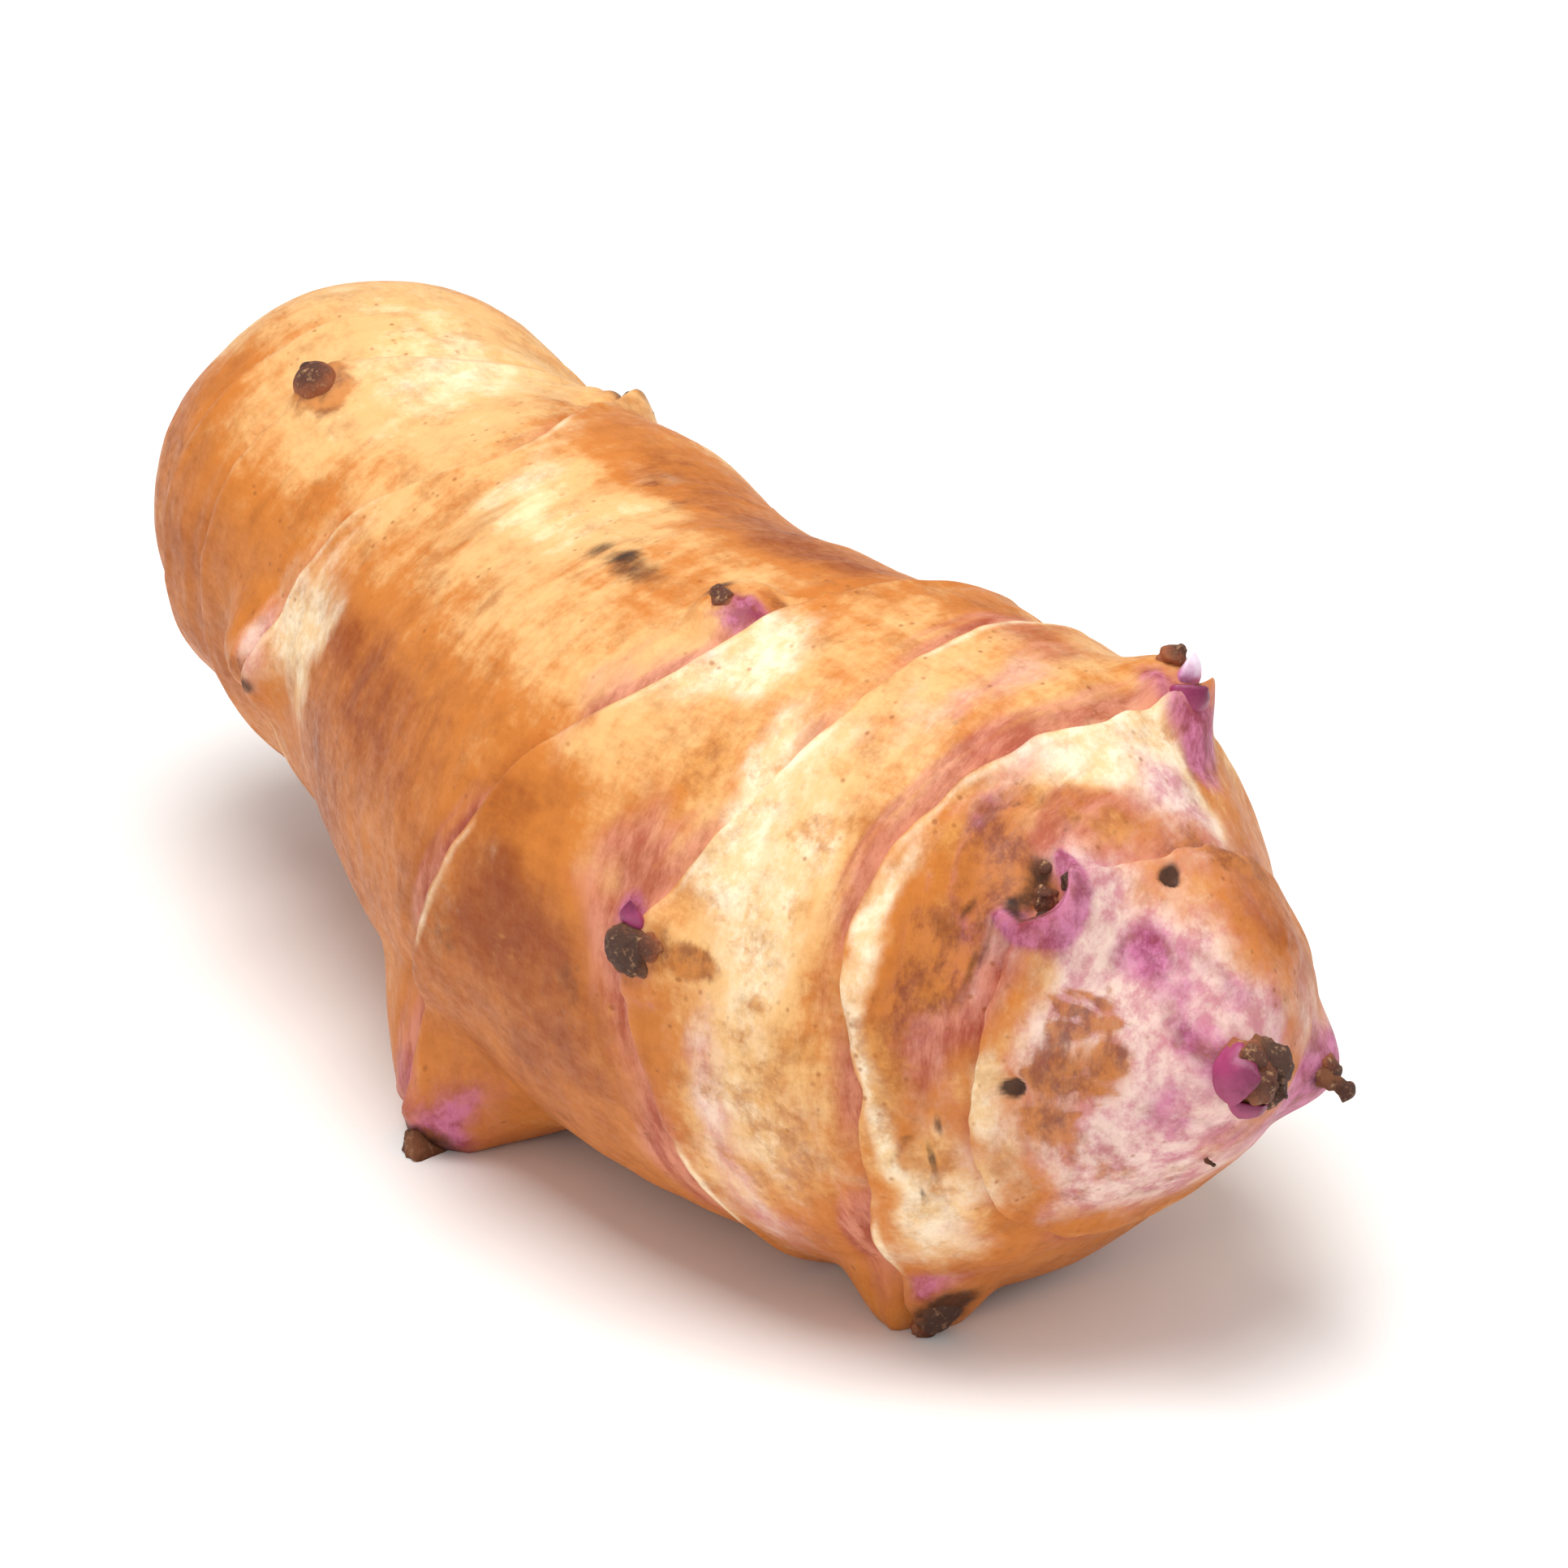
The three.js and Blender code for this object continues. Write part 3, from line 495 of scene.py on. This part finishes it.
# Buds are little sprouts: a section carried along a short path that leans over from the skin.
# width and thick are half sizes at [share of the length], rough and grain the height and size of its lumps,
# and sunk how deep its foot stands in the skin.
sproutShapes = {
    "core": {"width": [(0, 1), (0.45, 0.96), (0.7, 0.76), (0.88, 0.45), (1, 0.06)],
             "thick": [(0, 1), (0.45, 0.96), (0.7, 0.76), (0.88, 0.45), (1, 0.06)],
             "rough": 0.36, "grain": 0.9, "sunk": 1.3},
    "scale": {"width": [(0, 0.9), (0.3, 1), (0.6, 0.76), (0.85, 0.4), (1, 0.05)],
              "thick": [(0, 1), (0.3, 1), (0.7, 0.6), (1, 0.1)], "rough": 0.12, "grain": 1.1, "sunk": 0.6},
    "pea": {"width": [(0, 1), (0.45, 0.96), (0.7, 0.8), (0.88, 0.5), (1, 0.06)],
            "thick": [(0, 1), (0.45, 0.96), (0.7, 0.8), (0.88, 0.5), (1, 0.06)],
            "rough": 0.1, "grain": 1.1, "sunk": 1.2},
    "stub": {"width": [(0, 1.2), (0.3, 0.8), (0.7, 0.7), (0.9, 0.85), (1, 0.4)],
             "thick": [(0, 1.2), (0.3, 0.8), (0.7, 0.7), (0.9, 0.85), (1, 0.4)],
             "rough": 0.22, "grain": 0.7, "sunk": 0.5},
}

# Each bud sits at (distance along, angle round). Each sprout is (piece, shape, heading, start, length,
# width, thickness, lean at its foot, lean at its tip, cup): heading is an angle from the tip's direction,
# start how far from the bud's middle it grows, lean an angle from upright towards its heading, and cup how
# much it curls.
buds = {
    "fifth ring bud": [(83, 166), [
        ("dry", "core", 0, -0.2, 2.3, 3.5, 3.3, 0, 10, 0), ("dry", "core", 70, 0.9, 2.0, 2.2, 2.0, 0, 0, 0),
        ("brown", "core", -20, 1.5, 1.9, 1.9, 1.7, 0, 0, 0),
        ("scale", "scale", -95, 1.5, 1.8, 1.7, 0.8, 55, 80, 0.2)]],
    "seventh ring bud": [(105.9, 131), [
        ("brown", "core", 170, 0.4, 2.1, 2.4, 2.2, 0, 10, 0),
        ("dry", "core", -75, 1.3, 2.1, 1.7, 1.5, 0, 20, 0),
        ("dry", "core", 75, 1.1, 2.0, 1.5, 1.3, 0, -10, 0),
        ("brown", "core", -130, 1.9, 1.9, 1.3, 1.1, 0, 0, 0)]],
    "tip bud": [(115.8, 185), [
        ("dry", "core", -10, 1.3, 3.4, 3.4, 3.2, 0, 10, 0),
        ("dry", "core", 60, 1.5, 3.0, 2.0, 1.8, 0, 15, 0),
        ("brown", "core", 150, 0.4, 3.8, 3.2, 3.0, 0, 0, 0),
        ("brown", "core", -110, 1.3, 3.2, 2.2, 2.0, 0, 10, 0),
        ("scale", "scale", 205, 2.3, 3.1, 3.8, 1.0, 0, -30, 0.4),
        ("scale", "scale", 110, 2.3, 1.9, 3.0, 1.0, 0, -30, 0.4)]],
    "sixth ring bud": [(101.2, 62), [
        ("pale", "scale", 180, 0.4, 2.2, 2.0, 1.0, 30, 70, 0.2),
        ("scale", "scale", 10, 1.2, 2.1, 3.2, 1.2, 5, -40, 0.4),
        ("brown", "core", 170, 1.8, 1.9, 1.5, 1.3, 20, 30, 0)]],
    "fourth ring bud": [(76.6, 103), [
        ("brown", "core", 185, 0.4, 1.7, 1.5, 2.6, 0, 20, 0)]],
    "sixth ring foot": [(97.4, 243), [
        ("dry", "core", 0, 0.2, 2.0, 3.4, 3.0, 0, 15, 0),
        ("brown", "core", 160, 1.5, 1.8, 2.2, 1.8, 0, 10, 0)]],
    "fourth ring foot": [(60.4, 229), [
        ("dry", "core", 0, 0.2, 2.1, 3.4, 3.0, 0, 10, 0),
        ("brown", "core", 170, 1.4, 1.8, 2.2, 1.8, 0, 10, 0)]],
    "seventh ring hook": [(112.4, 327), [
        ("dry", "stub", 0, 0.2, 2.8, 1.5, 1.3, 20, -55, 0),
        ("brown", "core", 90, 0.6, 2.0, 1.6, 1.4, 0, 10, 0)]],
    "tail eye": [(25, 116), [
        ("brown", "pea", 0, 0.1, 2.0, 3.2, 3.2, 0, 0, 0),
        ("dry", "pea", 180, 0.7, 1.9, 1.5, 1.6, 0, 0, 0)]],
    "third ring bud": [(33.5, 52), [
        ("brown", "core", 0, 0, 2.1, 2.8, 2.4, 0, 20, 0),
        ("dry", "core", 180, 0.6, 1.9, 1.6, 1.5, 0, 10, 0)]],
    "third ring knob": [(34.6, 177), [
        ("pale", "core", 0, -0.4, 1.8, 2.0, 1.4, 0, 20, 0),
        ("dry", "core", 180, 0.8, 1.9, 1.5, 1.4, 0, 0, 0)]],
    "fourth ring far knob": [(76, 340), [
        ("dry", "core", 0, 0, 2.2, 2.8, 2.4, 0, 10, 0),
        ("scale", "scale", 180, 1.6, 2.0, 3.0, 1.0, 10, -35, 0.4)]],
    "fifth ring far bud": [(90.8, 350), [
        ("brown", "core", 0, 0, 2.2, 2.4, 2.2, 0, 10, 0),
        ("scale", "scale", 0, 1.5, 2.0, 2.8, 1.0, 10, -35, 0.4)]],
    "stolon stub": [(0, 90), [("brown", "stub", 0, 0, 1.4, 3.4, 3.2, 0, 8, 0)]],
    "root hair": [(112.5, 258), [("dry", "stub", 0, 0, 1.5, 0.5, 0.45, 10, 50, 0)]],
}


def seat(seatAlong, turn):
    # a point on the skin with the directions outwards, towards the tip and round
    step = np.array([0, -0.4, 0.4])
    if min(seatAlong, length - seatAlong) > 0.1:
        foot, before, after = skinPoint(seatAlong + step, np.full(3, float(turn)))
        left, right = skinPoint(np.full(2, float(seatAlong)), np.array([turn - 2.0, turn + 2.0]))
        forward, around = unit(after - before), unit(right - left)
        out = unit(np.cross(around, forward))
        return foot + slide, out, forward, unit(np.cross(forward, out))
    forward, side, over = across(np.array(min(max(seatAlong, 0.0), length)))
    sign = 1 if seatAlong > length / 2 else -1
    radial = math.cos(math.radians(turn)) * side + math.sin(math.radians(turn)) * over
    foot = poles[1 if sign > 0 else 0]
    return foot + slide, sign * forward, -sign * radial, unit(np.cross(-sign * radial, sign * forward))


def sproutGrid(place, settings, rows=38, columns=48):
    # a flattened circle carried along a path that leans from leanFoot to leanTip, with lumps of two sizes
    shape, heading, start, long, wide, thick, leanFoot, leanTip, cup = settings
    foot, out, forward, around = place
    form = sproutShapes[shape]
    towards = math.cos(math.radians(heading)) * forward + math.sin(math.radians(heading)) * around
    sideways = np.cross(towards, out)
    share = np.linspace(0, 1, rows)
    lean = np.radians(leanFoot + (leanTip - leanFoot) * share)[:, None]
    step = (np.cos(lean) * out + np.sin(lean) * towards) * long / (rows - 1)
    path = foot - form["sunk"] * out + towards * start + np.cumsum(step, axis=0) - step[0]
    flat = -np.sin(lean) * out + np.cos(lean) * towards
    halfWidth = wide / 2 * smoothThrough(form["width"], share)[:, None]
    halfThick = thick / 2 * smoothThrough(form["thick"], share)[:, None]
    turn = np.linspace(0, 2 * np.pi, columns, endpoint=False)
    sidestep = (halfWidth * np.cos(turn))[..., None] * sideways
    lift = (halfThick * np.sin(turn) - cup * halfWidth * np.cos(turn) ** 2)[..., None] * flat[:, None, :]
    surface = path[:, None, :] + sidestep + lift
    rough = lumps(surface, form["grain"], 71) + 0.5 * lumps(surface, 0.4 * form["grain"], 72)
    surface = surface + form["rough"] * rough[..., None] * unit(sidestep + lift)
    surface[..., 2] = np.maximum(surface[..., 2], 0)
    height = np.concatenate([np.repeat(share, columns), [0, 1]])
    return (surface, surface[0].mean(0), surface[-1].mean(0)), height


pieceNames = {"dry": "dry_bud_tips", "brown": "brown_bud_cores", "scale": "bud_scales",
              "pale": "pale_bud_scales"}
sproutSurfaces = {kind: [] for kind in pieceNames}
sproutHeights = {kind: [] for kind in pieceNames}
for (budAlong, budTurn), sprouts in buds.values():
    budSeat = seat(budAlong, budTurn)
    for kind, *settings in sprouts:
        surface, height = sproutGrid(budSeat, settings)
        sproutSurfaces[kind].append(surface)
        sproutHeights[kind].append(height)
budPieces = {}
for kind, name in pieceNames.items():
    budPieces[kind] = closedMesh(name, sproutSurfaces[kind], {"height": np.concatenate(sproutHeights[kind])})
print("buds:", {kind: len(surfaces) for kind, surfaces in sproutSurfaces.items()})


def linear(hexText):
    # an sRGB hex colour as linear RGBA
    shares = [int(hexText[i:i + 2], 16) / 255 for i in (1, 3, 5)]
    return [s / 12.92 if s <= 0.04045 else ((s + 0.055) / 1.055) ** 2.4 for s in shares] + [1.0]


def addNode(tree, kind, settings=None, links=None):
    # settings are the node's properties or its sockets' values; links join sockets to other nodes' outputs
    node = tree.nodes.new(kind)
    for key, value in (settings or {}).items():
        if isinstance(key, str) and hasattr(node, key):
            setattr(node, key, value)
        else:
            node.inputs[key].default_value = value
    for key, source in (links or {}).items():
        tree.links.new(source, node.inputs[key])
    return node


# The skin is a thin living cork over cream flesh, so it is satin with soft mottling and fine dull pores.
# A layer stains it where its mask is strong, between its two colours, with an edge that noise of the given
# grain in mm makes ragged.
skinFinish = {
    # the burnt end also gives the painted shade low on the sides, and the pale end the painted light on top
    "tones": [(-0.95, -0.3, "#EBB777"), (-0.3, 0.4, "#CC7A32"), (0.3, 1.5, "#8E3F0E")],
    "palest": "#F8DDAC",
    "layers": [
        # rose includes painted shade in the leaf scars' grooves and creases
        {"mask": "rose", "colours": ("#D98E78", "#A2443C"), "grain": 2.5, "stretch": (1, 0.25, 0.25),
         "ragged": 1.1, "edge": (0.2, 1.15), "amount": 0.8},
        # cream includes a painted highlight along each leaf scar's lip
        {"mask": "cream", "colours": ("#FCEBCB", "#F0CC98"), "grain": 3, "stretch": (1, 0.7, 0.7),
         "ragged": 1.1, "edge": (0.2, 0.95), "amount": 0.93},
        {"mask": "blush", "colours": ("#F1D6CB", "#CE8C9A"), "grain": 3, "stretch": (1, 0.6, 0.6),
         "ragged": 1.2, "edge": (0.2, 1.0), "amount": 0.88},
        {"mask": "blotch", "colours": ("#D9974F", "#B0662A"), "grain": 3.4, "stretch": (1, 1, 1),
         "ragged": 2.4, "edge": (0.55, 0.95), "amount": 0.7},
        {"mask": "violet", "colours": ("#CE74A2", "#861A4E"), "grain": 2.6, "stretch": (1, 0.7, 0.7),
         "ragged": 1.4, "edge": (0.3, 1.1), "amount": 0.86},
        {"mask": "scurf", "colours": ("#C4762F", "#7A3818"), "grain": 2.0, "stretch": (1, 0.5, 0.5),
         "ragged": 2.0, "edge": (0.4, 0.95), "amount": 0.82},
        # dark marks such as soil smudges and cracks, with painted shade in the pits and the scar creases
        {"mask": "sootAndShade", "colours": ("#46291C", "#140B08"), "grain": 0.8, "stretch": (1, 0.5, 0.5),
         "ragged": 0.9, "edge": (0.25, 0.95), "amount": 0.95},
    ],
    # the other noises: size in mm, shift, detail, roughness, and stretch along and round the tuber
    "noises": {
        "broad": (9, 3, 5, 0.6, (1, 1, 1)),
        "streak": (2.2, 11, 6, 0.65, (1, 0.3, 0.3)),          # streaks round the tuber
        "lengthStreak": (1.8, 17, 6, 0.6, (0.25, 1, 1)),      # and along it
        "fine": (0.8, 23, 5, 0.7, (1, 1, 1)),
        "film": (3.5, 67, 10, 0.75, (1, 1, 1)),               # a thin brown film of soil
        "scratch": (2.6, 41, 4, 0.6, (1, 0.12, 0.12)),        # shallow brown scratches
        "scratchPatch": (7, 47, 2, 0.5, (1, 1, 1)),
        "porePatch": (6, 59, 3, 0.6, (1, 1, 1)),
    },
    # smooth steps of a noise: from, to, value before, value after; the fine one gives the satin roughness
    "steps": {"film": (0.46, 0.74, 0, 0.5), "scratch": (0.6, 0.72, 0, 0.4),
              "scratchPatch": (0.48, 0.62, 0, 1), "porePoint": (0.06, 0.22, 1, 0),
              "porePatch": (0.45, 0.62, 0, 0.6), "fine": (0.3, 0.7, 0.36, 0.56)},
    "toneWeights": {"broad": 1.6, "streak": 1.1, "lengthStreak": 0.6, "fine": 0.6},
    "soil": "#96521F",
    "poreGap": 1.1,       # mm between rusty pores
    "shadeGrain": 1.4,    # mm between a stain's lighter and darker shades
    "bump": {"Strength": 0.6, "Distance": 0.00018},
}


def livingSkin():
    # tones, partly painted light and shade, over the palest colour, then the stains with painted shade in
    # the scar creases and a painted highlight on their lips, then soil; the bump is fine noise and streaks
    # less pores
    material = bpy.data.materials.new("living tuber skin")
    material.use_nodes = True
    tree = material.node_tree
    tree.nodes.clear()
    place = addNode(tree, "ShaderNodeAttribute", {"attribute_name": "straight"}).outputs["Vector"]
    noise = {}
    for name, (size, shift, detail, roughness, stretch) in skinFinish["noises"].items():
        moved = addNode(tree, "ShaderNodeVectorMath", {"operation": "MULTIPLY_ADD", 2: (shift, shift, 0),
                        1: [s / size for s in stretch]}, {0: place})
        cloud = addNode(tree, "ShaderNodeTexNoise", {"Scale": 1, "Detail": detail, "Roughness": roughness},
                        {"Vector": moved.outputs[0]})
        noise[name] = cloud.outputs["Fac"]
    # the tone attribute holds painted light and shade as well as the skin's own tone
    toneAndShading = addNode(tree, "ShaderNodeAttribute", {"attribute_name": "toneAndShading"}).outputs["Fac"]
    for name, weight in skinFinish["toneWeights"].items():
        centred = addNode(tree, "ShaderNodeMath", {"operation": "SUBTRACT", 1: 0.5}, {0: noise[name]})
        toneAndShading = addNode(tree, "ShaderNodeMath", {"operation": "MULTIPLY_ADD", 1: weight},
                       {0: centred.outputs[0], 2: toneAndShading}).outputs[0]
    colour = addNode(tree, "ShaderNodeRGB").outputs[0]
    colour.default_value = linear(skinFinish["palest"])
    for start, end, tint in skinFinish["tones"]:
        share = addNode(tree, "ShaderNodeMapRange", {"interpolation_type": "SMOOTHSTEP", 1: start, 2: end},
                        {0: toneAndShading})
        colour = addNode(tree, "ShaderNodeMix", {"data_type": "RGBA", 7: linear(tint)},
                         {0: share.outputs[0], 6: colour}).outputs[2]
    for number, layer in enumerate(skinFinish["layers"]):
        # strength = mask + ragged x (noise - 0.5)
        mask = addNode(tree, "ShaderNodeAttribute", {"attribute_name": layer["mask"]})
        size, shift = layer["grain"], 31 * number + 7
        moved = addNode(tree, "ShaderNodeVectorMath", {"operation": "MULTIPLY_ADD", 2: (shift, shift, 0),
                        1: [s / size for s in layer["stretch"]]}, {0: place})
        grain = addNode(tree, "ShaderNodeTexNoise", {"Scale": 1, "Detail": 9, "Roughness": 0.66},
                        {"Vector": moved.outputs[0]})
        centred = addNode(tree, "ShaderNodeMath", {"operation": "SUBTRACT", 1: 0.5},
                          {0: grain.outputs["Fac"]})
        strength = addNode(tree, "ShaderNodeMath", {"operation": "MULTIPLY_ADD", 1: layer["ragged"]},
                           {0: centred.outputs[0], 2: mask.outputs["Fac"]})
        start, end = layer["edge"]
        share = addNode(tree, "ShaderNodeMapRange", {"interpolation_type": "SMOOTHSTEP", 1: start, 2: end,
                        4: layer["amount"]}, {0: strength.outputs[0]})
        moved = addNode(tree, "ShaderNodeVectorMath", {"operation": "MULTIPLY_ADD", 2: (shift + 5, 0, shift),
                        1: [s / skinFinish["shadeGrain"] for s in layer["stretch"]]}, {0: place})
        shade = addNode(tree, "ShaderNodeTexNoise", {"Scale": 1, "Detail": 6, "Roughness": 0.7},
                        {"Vector": moved.outputs[0]})
        deep = addNode(tree, "ShaderNodeMapRange", {"interpolation_type": "SMOOTHSTEP", 1: 0.38, 2: 0.64},
                       {0: shade.outputs["Fac"]})
        light, dark = (linear(tint) for tint in layer["colours"])
        stain = addNode(tree, "ShaderNodeMix", {"data_type": "RGBA", 6: light, 7: dark},
                        {0: deep.outputs[0]})
        colour = addNode(tree, "ShaderNodeMix", {"data_type": "RGBA"},
                         {0: share.outputs[0], 6: colour, 7: stain.outputs[2]}).outputs[2]
    # soil: a thin film, shallow scratches, and rusty pores at some cells' middles
    cell = addNode(tree, "ShaderNodeVectorMath", {"operation": "SCALE", "Scale": 1 / skinFinish["poreGap"]},
                   {0: place})
    pores = addNode(tree, "ShaderNodeTexVoronoi", {"Scale": 1}, {"Vector": cell.outputs[0]})
    noise["porePoint"] = pores.outputs["Distance"]
    smooth = {}
    for name, (start, end, low, high) in skinFinish["steps"].items():
        step = addNode(tree, "ShaderNodeMapRange", {"interpolation_type": "SMOOTHSTEP", 1: start, 2: end,
                       3: low, 4: high}, {0: noise[name]})
        smooth[name] = step.outputs[0]
    scratch = addNode(tree, "ShaderNodeMath", {"operation": "MULTIPLY"},
                      {0: smooth["scratch"], 1: smooth["scratchPatch"]})
    pore = addNode(tree, "ShaderNodeMath", {"operation": "MULTIPLY"},
                   {0: smooth["porePoint"], 1: smooth["porePatch"]})
    for share in (smooth["film"], scratch.outputs[0], pore.outputs[0]):
        colour = addNode(tree, "ShaderNodeMix", {"data_type": "RGBA", 7: linear(skinFinish["soil"])},
                         {0: share, 6: colour}).outputs[2]
    height = addNode(tree, "ShaderNodeMath", {"operation": "MULTIPLY_ADD", 1: 0.5},
                     {0: noise["fine"], 2: noise["streak"]})
    height = addNode(tree, "ShaderNodeMath", {"operation": "MULTIPLY_ADD", 1: -0.5},
                     {0: pore.outputs[0], 2: height.outputs[0]})
    bump = addNode(tree, "ShaderNodeBump", skinFinish["bump"], {"Height": height.outputs[0]})
    shader = addNode(tree, "ShaderNodeBsdfPrincipled",
                     {"Subsurface Weight": 0.1, "Subsurface Scale": 0.0012, "Specular IOR Level": 0.22,
                      "Subsurface Radius": (1.0, 0.45, 0.25)},
                     {"Base Color": colour, "Normal": bump.outputs[0], "Roughness": smooth["fine"]})
    addNode(tree, "ShaderNodeOutputMaterial", None, {"Surface": shader.outputs[0]})
    return material


# Each bud finish runs from a foot colour to a tip colour along the sprout, mottled with a third.
budFinishes = {
    # dead bud tissue dried to a wrinkled char-brown crust: dull, with tan mottles on its raised ridges that
    # are partly its own colour and partly painted highlight
    "dry": {"name": "dried bud crust", "foot": "#84502F", "tip": "#4C2E20", "mottle": "#BC8C66",
            "grain": 0.6, "rise": (0.3, 0.8), "roughness": 0.75, "relief": 0.0004},
    # the same crust where it is fresher: russet, with tan mottles on its ridges that are partly painted
    # highlight
    "brown": {"name": "russet bud crust", "foot": "#A05A34", "tip": "#552A18", "mottle": "#CC9A6C",
            "grain": 0.6, "rise": (0.4, 0.95), "roughness": 0.7, "relief": 0.0003},
    # living bud scale full of purple sap: smooth and waxy
    "scale": {"name": "living bud scale", "foot": "#9C3664", "tip": "#701640", "mottle": "#8A2654",
            "grain": 1.5, "rise": (0.3, 0.95), "roughness": 0.38, "relief": 0.0001},
    # young bud scale, still almost white, flushed with lilac
    "pale": {"name": "young pale bud scale", "foot": "#C77BA8", "tip": "#F0DCEB", "mottle": "#DDB4D6",
            "grain": 1.4, "rise": (0.2, 0.8), "roughness": 0.4, "relief": 0.0001},
}


def budFinish(finish):
    # foot colour to tip colour by height plus noise, with mottles where the noise is high
    material = bpy.data.materials.new(finish["name"])
    material.use_nodes = True
    tree = material.node_tree
    tree.nodes.clear()
    place = addNode(tree, "ShaderNodeTexCoord").outputs["Object"]
    cell = addNode(tree, "ShaderNodeVectorMath",
                   {"operation": "SCALE", "Scale": 1 / (metre * finish["grain"])}, {0: place})
    grain = addNode(tree, "ShaderNodeTexNoise", {"Scale": 1, "Detail": 8, "Roughness": 0.7},
                    {"Vector": cell.outputs[0]})
    height = addNode(tree, "ShaderNodeAttribute", {"attribute_name": "height"})
    centred = addNode(tree, "ShaderNodeMath", {"operation": "SUBTRACT", 1: 0.5}, {0: grain.outputs["Fac"]})
    rise = addNode(tree, "ShaderNodeMath", {"operation": "MULTIPLY_ADD", 1: 1.2},
                   {0: centred.outputs[0], 2: height.outputs["Fac"]})
    share = addNode(tree, "ShaderNodeMapRange", {"interpolation_type": "SMOOTHSTEP", 1: finish["rise"][0],
                    2: finish["rise"][1]}, {0: rise.outputs[0]})
    foot, tip, mottle = (linear(finish[key]) for key in ("foot", "tip", "mottle"))
    colour = addNode(tree, "ShaderNodeMix", {"data_type": "RGBA", 6: foot, 7: tip}, {0: share.outputs[0]})
    # mottle where the grain, which is also the bump's height, is high; on the two crusts it is partly a
    # painted highlight on the ridges
    share = addNode(tree, "ShaderNodeMapRange",
                    {"interpolation_type": "SMOOTHSTEP", 1: 0.53, 2: 0.7, 4: 0.85},
                    {0: grain.outputs["Fac"]})
    colour = addNode(tree, "ShaderNodeMix", {"data_type": "RGBA", 7: mottle},
                     {0: share.outputs[0], 6: colour.outputs[2]})
    bump = addNode(tree, "ShaderNodeBump", {"Strength": 0.8, "Distance": finish["relief"]},
                   {"Height": grain.outputs["Fac"]})
    shader = addNode(tree, "ShaderNodeBsdfPrincipled", {"Roughness": finish["roughness"]},
                     {"Base Color": colour.outputs[2], "Normal": bump.outputs[0]})
    addNode(tree, "ShaderNodeOutputMaterial", None, {"Surface": shader.outputs[0]})
    return material


skin.data.materials.append(livingSkin())
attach(skin, "root")
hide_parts("tuber")
for kind, piece in budPieces.items():
    piece.data.materials.append(budFinish(budFinishes[kind]))
    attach(piece, "root")
print("finishes done")

studio = {
    "floorSize": 4.0,
    "floorColour": "#F7F6F4",
    "azimuth": 58,
    "elevation": 25,
    "distance": 0.56,
    "lens": 195,
    "target": (0.0052, 0.0059, 0.0211),
    "skyStrength": 0.45,
    "softboxes": [   # place, size and power in watts
        {"place": (0.02, -0.12, 0.8), "size": 0.5, "power": 6.0},
        {"place": (0.5, 0.45, 0.4), "size": 0.5, "power": 1.0},
        {"place": (0.45, -0.6, 0.3), "size": 0.5, "power": 1.0},
    ],
}
scene = bpy.context.scene
floorMesh = bpy.data.meshes.new("floor")
half = studio["floorSize"] / 2
floorCorners = [(-half, -half, 0), (half, -half, 0), (half, half, 0), (-half, half, 0)]
floorMesh.from_pydata(floorCorners, [], [(0, 1, 2, 3)])
floor = bpy.data.objects.new("floor", floorMesh)
scene.collection.objects.link(floor)
floorPaint = bpy.data.materials.new("matt white board")
floorPaint.use_nodes = True
floorShader = floorPaint.node_tree.nodes["Principled BSDF"]
floorShader.inputs["Base Color"].default_value = linear(studio["floorColour"])
floorShader.inputs["Roughness"].default_value = 0.8
floorMesh.materials.append(floorPaint)

world = bpy.data.worlds.new("studio")
world.use_nodes = True
world.node_tree.nodes["Background"].inputs["Color"].default_value = (1, 1, 1, 1)
world.node_tree.nodes["Background"].inputs["Strength"].default_value = studio["skyStrength"]
scene.world = world

target = Vector(studio["target"])
for number, box in enumerate(studio["softboxes"]):
    lamp = bpy.data.lights.new(f"softbox{number}", "AREA")
    lamp.size = box["size"]
    lamp.energy = box["power"]
    lampObject = bpy.data.objects.new(f"softbox{number}", lamp)
    lampObject.location = box["place"]
    lampObject.rotation_euler = (target - Vector(box["place"])).to_track_quat("-Z", "Y").to_euler()
    scene.collection.objects.link(lampObject)

turn, rise = math.radians(studio["azimuth"]), math.radians(studio["elevation"])
back = Vector((math.sin(turn) * math.cos(rise), -math.cos(turn) * math.cos(rise), math.sin(rise)))
cameraData = bpy.data.cameras.new("camera")
cameraData.lens = studio["lens"]
cameraData.sensor_width = 36
cameraData.clip_start, cameraData.clip_end = 0.01, 20
camera = bpy.data.objects.new("camera", cameraData)
camera.location = target + back * studio["distance"]
camera.rotation_euler = (-back).to_track_quat("-Z", "Y").to_euler()
scene.collection.objects.link(camera)
scene.camera = camera
scene.view_settings.view_transform = "Standard"
scene.view_settings.look = "None"
print("studio done")
